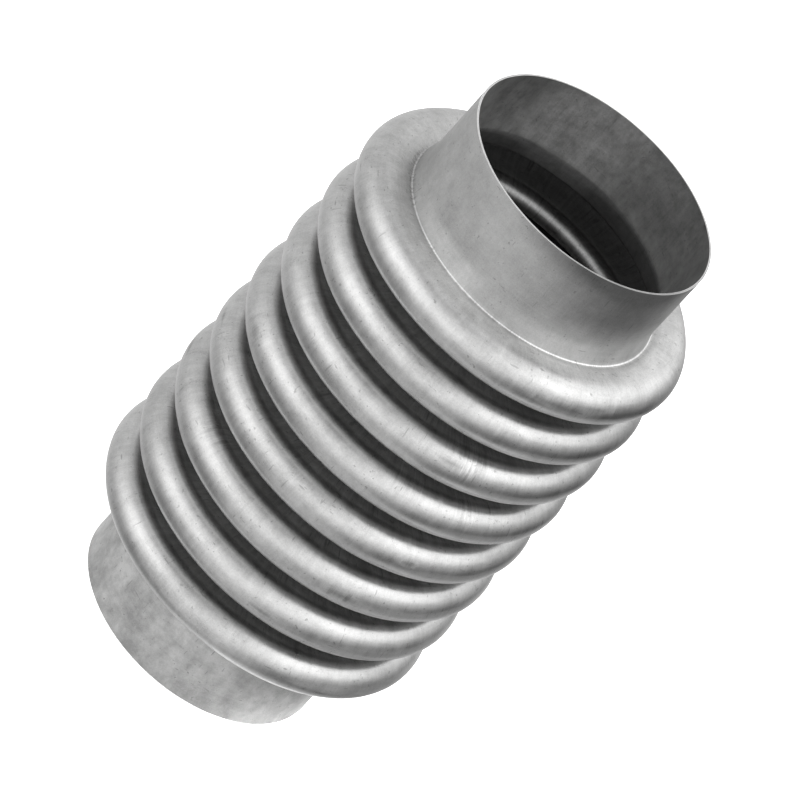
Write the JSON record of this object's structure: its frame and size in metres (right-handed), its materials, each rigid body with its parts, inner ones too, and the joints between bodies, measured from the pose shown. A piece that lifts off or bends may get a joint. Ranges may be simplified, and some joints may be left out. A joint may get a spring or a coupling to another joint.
{
  "type": "metal bellows expansion joint",
  "caption": "Two-ply corrugated stainless tube with plain cuffs at both ends; it squeezes, stretches, bends and shifts sideways to take up pipe movement.",
  "frame": {"origin": "centre of the lower rim plane, on the bore's axis", "axes": "+Z along the bore from the lower rim to the upper rim; X and Y are the two bending axes"},
  "size_m": [0.1764, 0.1764, 0.314],
  "materials": {
    "bellows_steel": "bright satin stainless with fine forming rings and light scratches",
    "cuff_steel": "matt cloudy stainless with stains"
  },
  "bodies": {
    "lower_cuff": {"lower_cuff_outer_ply": "cuff_steel", "lower_cuff_inner_ply": "cuff_steel", "lower_flank_1": "bellows_steel"},
    "crest_1": {"crest_1": "bellows_steel"},
    "upper_flank_1": {"upper_flank_1": "bellows_steel"},
    "lower_flank_2": {"lower_flank_2": "bellows_steel"},
    "crest_2": {"crest_2": "bellows_steel"},
    "upper_flank_2": {"upper_flank_2": "bellows_steel"},
    "lower_flank_3": {"lower_flank_3": "bellows_steel"},
    "crest_3": {"crest_3": "bellows_steel"},
    "upper_flank_3": {"upper_flank_3": "bellows_steel"},
    "lower_flank_4": {"lower_flank_4": "bellows_steel"},
    "crest_4": {"crest_4": "bellows_steel"},
    "upper_flank_4": {"upper_flank_4": "bellows_steel"},
    "lower_flank_5": {"lower_flank_5": "bellows_steel"},
    "crest_5": {"crest_5": "bellows_steel"},
    "upper_flank_5": {"upper_flank_5": "bellows_steel"},
    "lower_flank_6": {"lower_flank_6": "bellows_steel"},
    "crest_6": {"crest_6": "bellows_steel"},
    "upper_flank_6": {"upper_flank_6": "bellows_steel"},
    "lower_flank_7": {"lower_flank_7": "bellows_steel"},
    "crest_7": {"crest_7": "bellows_steel"},
    "upper_flank_7": {"upper_flank_7": "bellows_steel"},
    "lower_flank_8": {"lower_flank_8": "bellows_steel"},
    "crest_8": {"crest_8": "bellows_steel"},
    "upper_cuff": {"upper_flank_8": "bellows_steel", "upper_cuff_inner_ply": "cuff_steel", "upper_cuff_outer_ply": "cuff_steel"}
  },
  "joints": [
    {"name": "bend_y_crest_1", "type": "hinge", "parent": "lower_cuff", "child": "crest_1", "pos_m": [0, 0, 0.0508], "axis": [0, 1, 0], "range_deg": [-1.25, 1.25], "stiffness_Nm_per_rad": 1900, "deforming": ["lower_flank_1", "crest_1"]},
    {"name": "bend_x_crest_1", "type": "hinge", "parent": "crest_1", "child": "upper_flank_1", "pos_m": [0, 0, 0.0616], "axis": [1, 0, 0], "range_deg": [-1.25, 1.25], "stiffness_Nm_per_rad": 1900, "deforming": ["crest_1", "upper_flank_1"]},
    {"name": "squeeze_root_1", "type": "slide", "parent": "upper_flank_1", "child": "lower_flank_2", "axis": [0, 0, 1], "range_m": [-0.0025, 0.0015], "stiffness_N_per_m": 640000, "deforming": ["upper_flank_1", "lower_flank_2"]},
    {"name": "bend_y_crest_2", "type": "hinge", "parent": "lower_flank_2", "child": "crest_2", "pos_m": [0, 0, 0.0796], "axis": [0, 1, 0], "range_deg": [-1.25, 1.25], "stiffness_Nm_per_rad": 1900, "deforming": ["lower_flank_2", "crest_2"]},
    {"name": "bend_x_crest_2", "type": "hinge", "parent": "crest_2", "child": "upper_flank_2", "pos_m": [0, 0, 0.0904], "axis": [1, 0, 0], "range_deg": [-1.25, 1.25], "stiffness_Nm_per_rad": 1900, "deforming": ["crest_2", "upper_flank_2"]},
    {"name": "squeeze_root_2", "type": "slide", "parent": "upper_flank_2", "child": "lower_flank_3", "axis": [0, 0, 1], "range_m": [-0.0025, 0.0015], "stiffness_N_per_m": 640000, "deforming": ["upper_flank_2", "lower_flank_3"]},
    {"name": "bend_y_crest_3", "type": "hinge", "parent": "lower_flank_3", "child": "crest_3", "pos_m": [0, 0, 0.1084], "axis": [0, 1, 0], "range_deg": [-1.25, 1.25], "stiffness_Nm_per_rad": 1900, "deforming": ["lower_flank_3", "crest_3"]},
    {"name": "bend_x_crest_3", "type": "hinge", "parent": "crest_3", "child": "upper_flank_3", "pos_m": [0, 0, 0.1192], "axis": [1, 0, 0], "range_deg": [-1.25, 1.25], "stiffness_Nm_per_rad": 1900, "deforming": ["crest_3", "upper_flank_3"]},
    {"name": "squeeze_root_3", "type": "slide", "parent": "upper_flank_3", "child": "lower_flank_4", "axis": [0, 0, 1], "range_m": [-0.0025, 0.0015], "stiffness_N_per_m": 640000, "deforming": ["upper_flank_3", "lower_flank_4"]},
    {"name": "bend_y_crest_4", "type": "hinge", "parent": "lower_flank_4", "child": "crest_4", "pos_m": [0, 0, 0.1372], "axis": [0, 1, 0], "range_deg": [-1.25, 1.25], "stiffness_Nm_per_rad": 1900, "deforming": ["lower_flank_4", "crest_4"]},
    {"name": "bend_x_crest_4", "type": "hinge", "parent": "crest_4", "child": "upper_flank_4", "pos_m": [0, 0, 0.148], "axis": [1, 0, 0], "range_deg": [-1.25, 1.25], "stiffness_Nm_per_rad": 1900, "deforming": ["crest_4", "upper_flank_4"]},
    {"name": "squeeze_root_4", "type": "slide", "parent": "upper_flank_4", "child": "lower_flank_5", "axis": [0, 0, 1], "range_m": [-0.0025, 0.0015], "stiffness_N_per_m": 640000, "deforming": ["upper_flank_4", "lower_flank_5"]},
    {"name": "bend_y_crest_5", "type": "hinge", "parent": "lower_flank_5", "child": "crest_5", "pos_m": [0, 0, 0.166], "axis": [0, 1, 0], "range_deg": [-1.25, 1.25], "stiffness_Nm_per_rad": 1900, "deforming": ["lower_flank_5", "crest_5"]},
    {"name": "bend_x_crest_5", "type": "hinge", "parent": "crest_5", "child": "upper_flank_5", "pos_m": [0, 0, 0.1768], "axis": [1, 0, 0], "range_deg": [-1.25, 1.25], "stiffness_Nm_per_rad": 1900, "deforming": ["crest_5", "upper_flank_5"]},
    {"name": "squeeze_root_5", "type": "slide", "parent": "upper_flank_5", "child": "lower_flank_6", "axis": [0, 0, 1], "range_m": [-0.0025, 0.0015], "stiffness_N_per_m": 640000, "deforming": ["upper_flank_5", "lower_flank_6"]},
    {"name": "bend_y_crest_6", "type": "hinge", "parent": "lower_flank_6", "child": "crest_6", "pos_m": [0, 0, 0.1948], "axis": [0, 1, 0], "range_deg": [-1.25, 1.25], "stiffness_Nm_per_rad": 1900, "deforming": ["lower_flank_6", "crest_6"]},
    {"name": "bend_x_crest_6", "type": "hinge", "parent": "crest_6", "child": "upper_flank_6", "pos_m": [0, 0, 0.2056], "axis": [1, 0, 0], "range_deg": [-1.25, 1.25], "stiffness_Nm_per_rad": 1900, "deforming": ["crest_6", "upper_flank_6"]},
    {"name": "squeeze_root_6", "type": "slide", "parent": "upper_flank_6", "child": "lower_flank_7", "axis": [0, 0, 1], "range_m": [-0.0025, 0.0015], "stiffness_N_per_m": 640000, "deforming": ["upper_flank_6", "lower_flank_7"]},
    {"name": "bend_y_crest_7", "type": "hinge", "parent": "lower_flank_7", "child": "crest_7", "pos_m": [0, 0, 0.2236], "axis": [0, 1, 0], "range_deg": [-1.25, 1.25], "stiffness_Nm_per_rad": 1900, "deforming": ["lower_flank_7", "crest_7"]},
    {"name": "bend_x_crest_7", "type": "hinge", "parent": "crest_7", "child": "upper_flank_7", "pos_m": [0, 0, 0.2344], "axis": [1, 0, 0], "range_deg": [-1.25, 1.25], "stiffness_Nm_per_rad": 1900, "deforming": ["crest_7", "upper_flank_7"]},
    {"name": "squeeze_root_7", "type": "slide", "parent": "upper_flank_7", "child": "lower_flank_8", "axis": [0, 0, 1], "range_m": [-0.0025, 0.0015], "stiffness_N_per_m": 640000, "deforming": ["upper_flank_7", "lower_flank_8"]},
    {"name": "bend_y_crest_8", "type": "hinge", "parent": "lower_flank_8", "child": "crest_8", "pos_m": [0, 0, 0.2524], "axis": [0, 1, 0], "range_deg": [-1.25, 1.25], "stiffness_Nm_per_rad": 1900, "deforming": ["lower_flank_8", "crest_8"]},
    {"name": "bend_x_crest_8", "type": "hinge", "parent": "crest_8", "child": "upper_cuff", "pos_m": [0, 0, 0.2632], "axis": [1, 0, 0], "range_deg": [-1.25, 1.25], "stiffness_Nm_per_rad": 1900, "deforming": ["crest_8", "upper_flank_8"]}
  ],
  "couplings": [
    {"joint": "bend_y_crest_2", "follows": "bend_y_crest_1", "ratio": 1},
    {"joint": "bend_x_crest_2", "follows": "bend_x_crest_1", "ratio": 1},
    {"joint": "squeeze_root_2", "follows": "squeeze_root_1", "ratio": 1},
    {"joint": "bend_y_crest_3", "follows": "bend_y_crest_1", "ratio": 1},
    {"joint": "bend_x_crest_3", "follows": "bend_x_crest_1", "ratio": 1},
    {"joint": "squeeze_root_3", "follows": "squeeze_root_1", "ratio": 1},
    {"joint": "bend_y_crest_4", "follows": "bend_y_crest_1", "ratio": 1},
    {"joint": "bend_x_crest_4", "follows": "bend_x_crest_1", "ratio": 1},
    {"joint": "squeeze_root_4", "follows": "squeeze_root_1", "ratio": 1},
    {"joint": "squeeze_root_5", "follows": "squeeze_root_1", "ratio": 1},
    {"joint": "bend_y_crest_6", "follows": "bend_y_crest_5", "ratio": 1},
    {"joint": "bend_x_crest_6", "follows": "bend_x_crest_5", "ratio": 1},
    {"joint": "squeeze_root_6", "follows": "squeeze_root_1", "ratio": 1},
    {"joint": "bend_y_crest_7", "follows": "bend_y_crest_5", "ratio": 1},
    {"joint": "bend_x_crest_7", "follows": "bend_x_crest_5", "ratio": 1},
    {"joint": "squeeze_root_7", "follows": "squeeze_root_1", "ratio": 1},
    {"joint": "bend_y_crest_8", "follows": "bend_y_crest_5", "ratio": 1},
    {"joint": "bend_x_crest_8", "follows": "bend_x_crest_5", "ratio": 1}
  ]
}
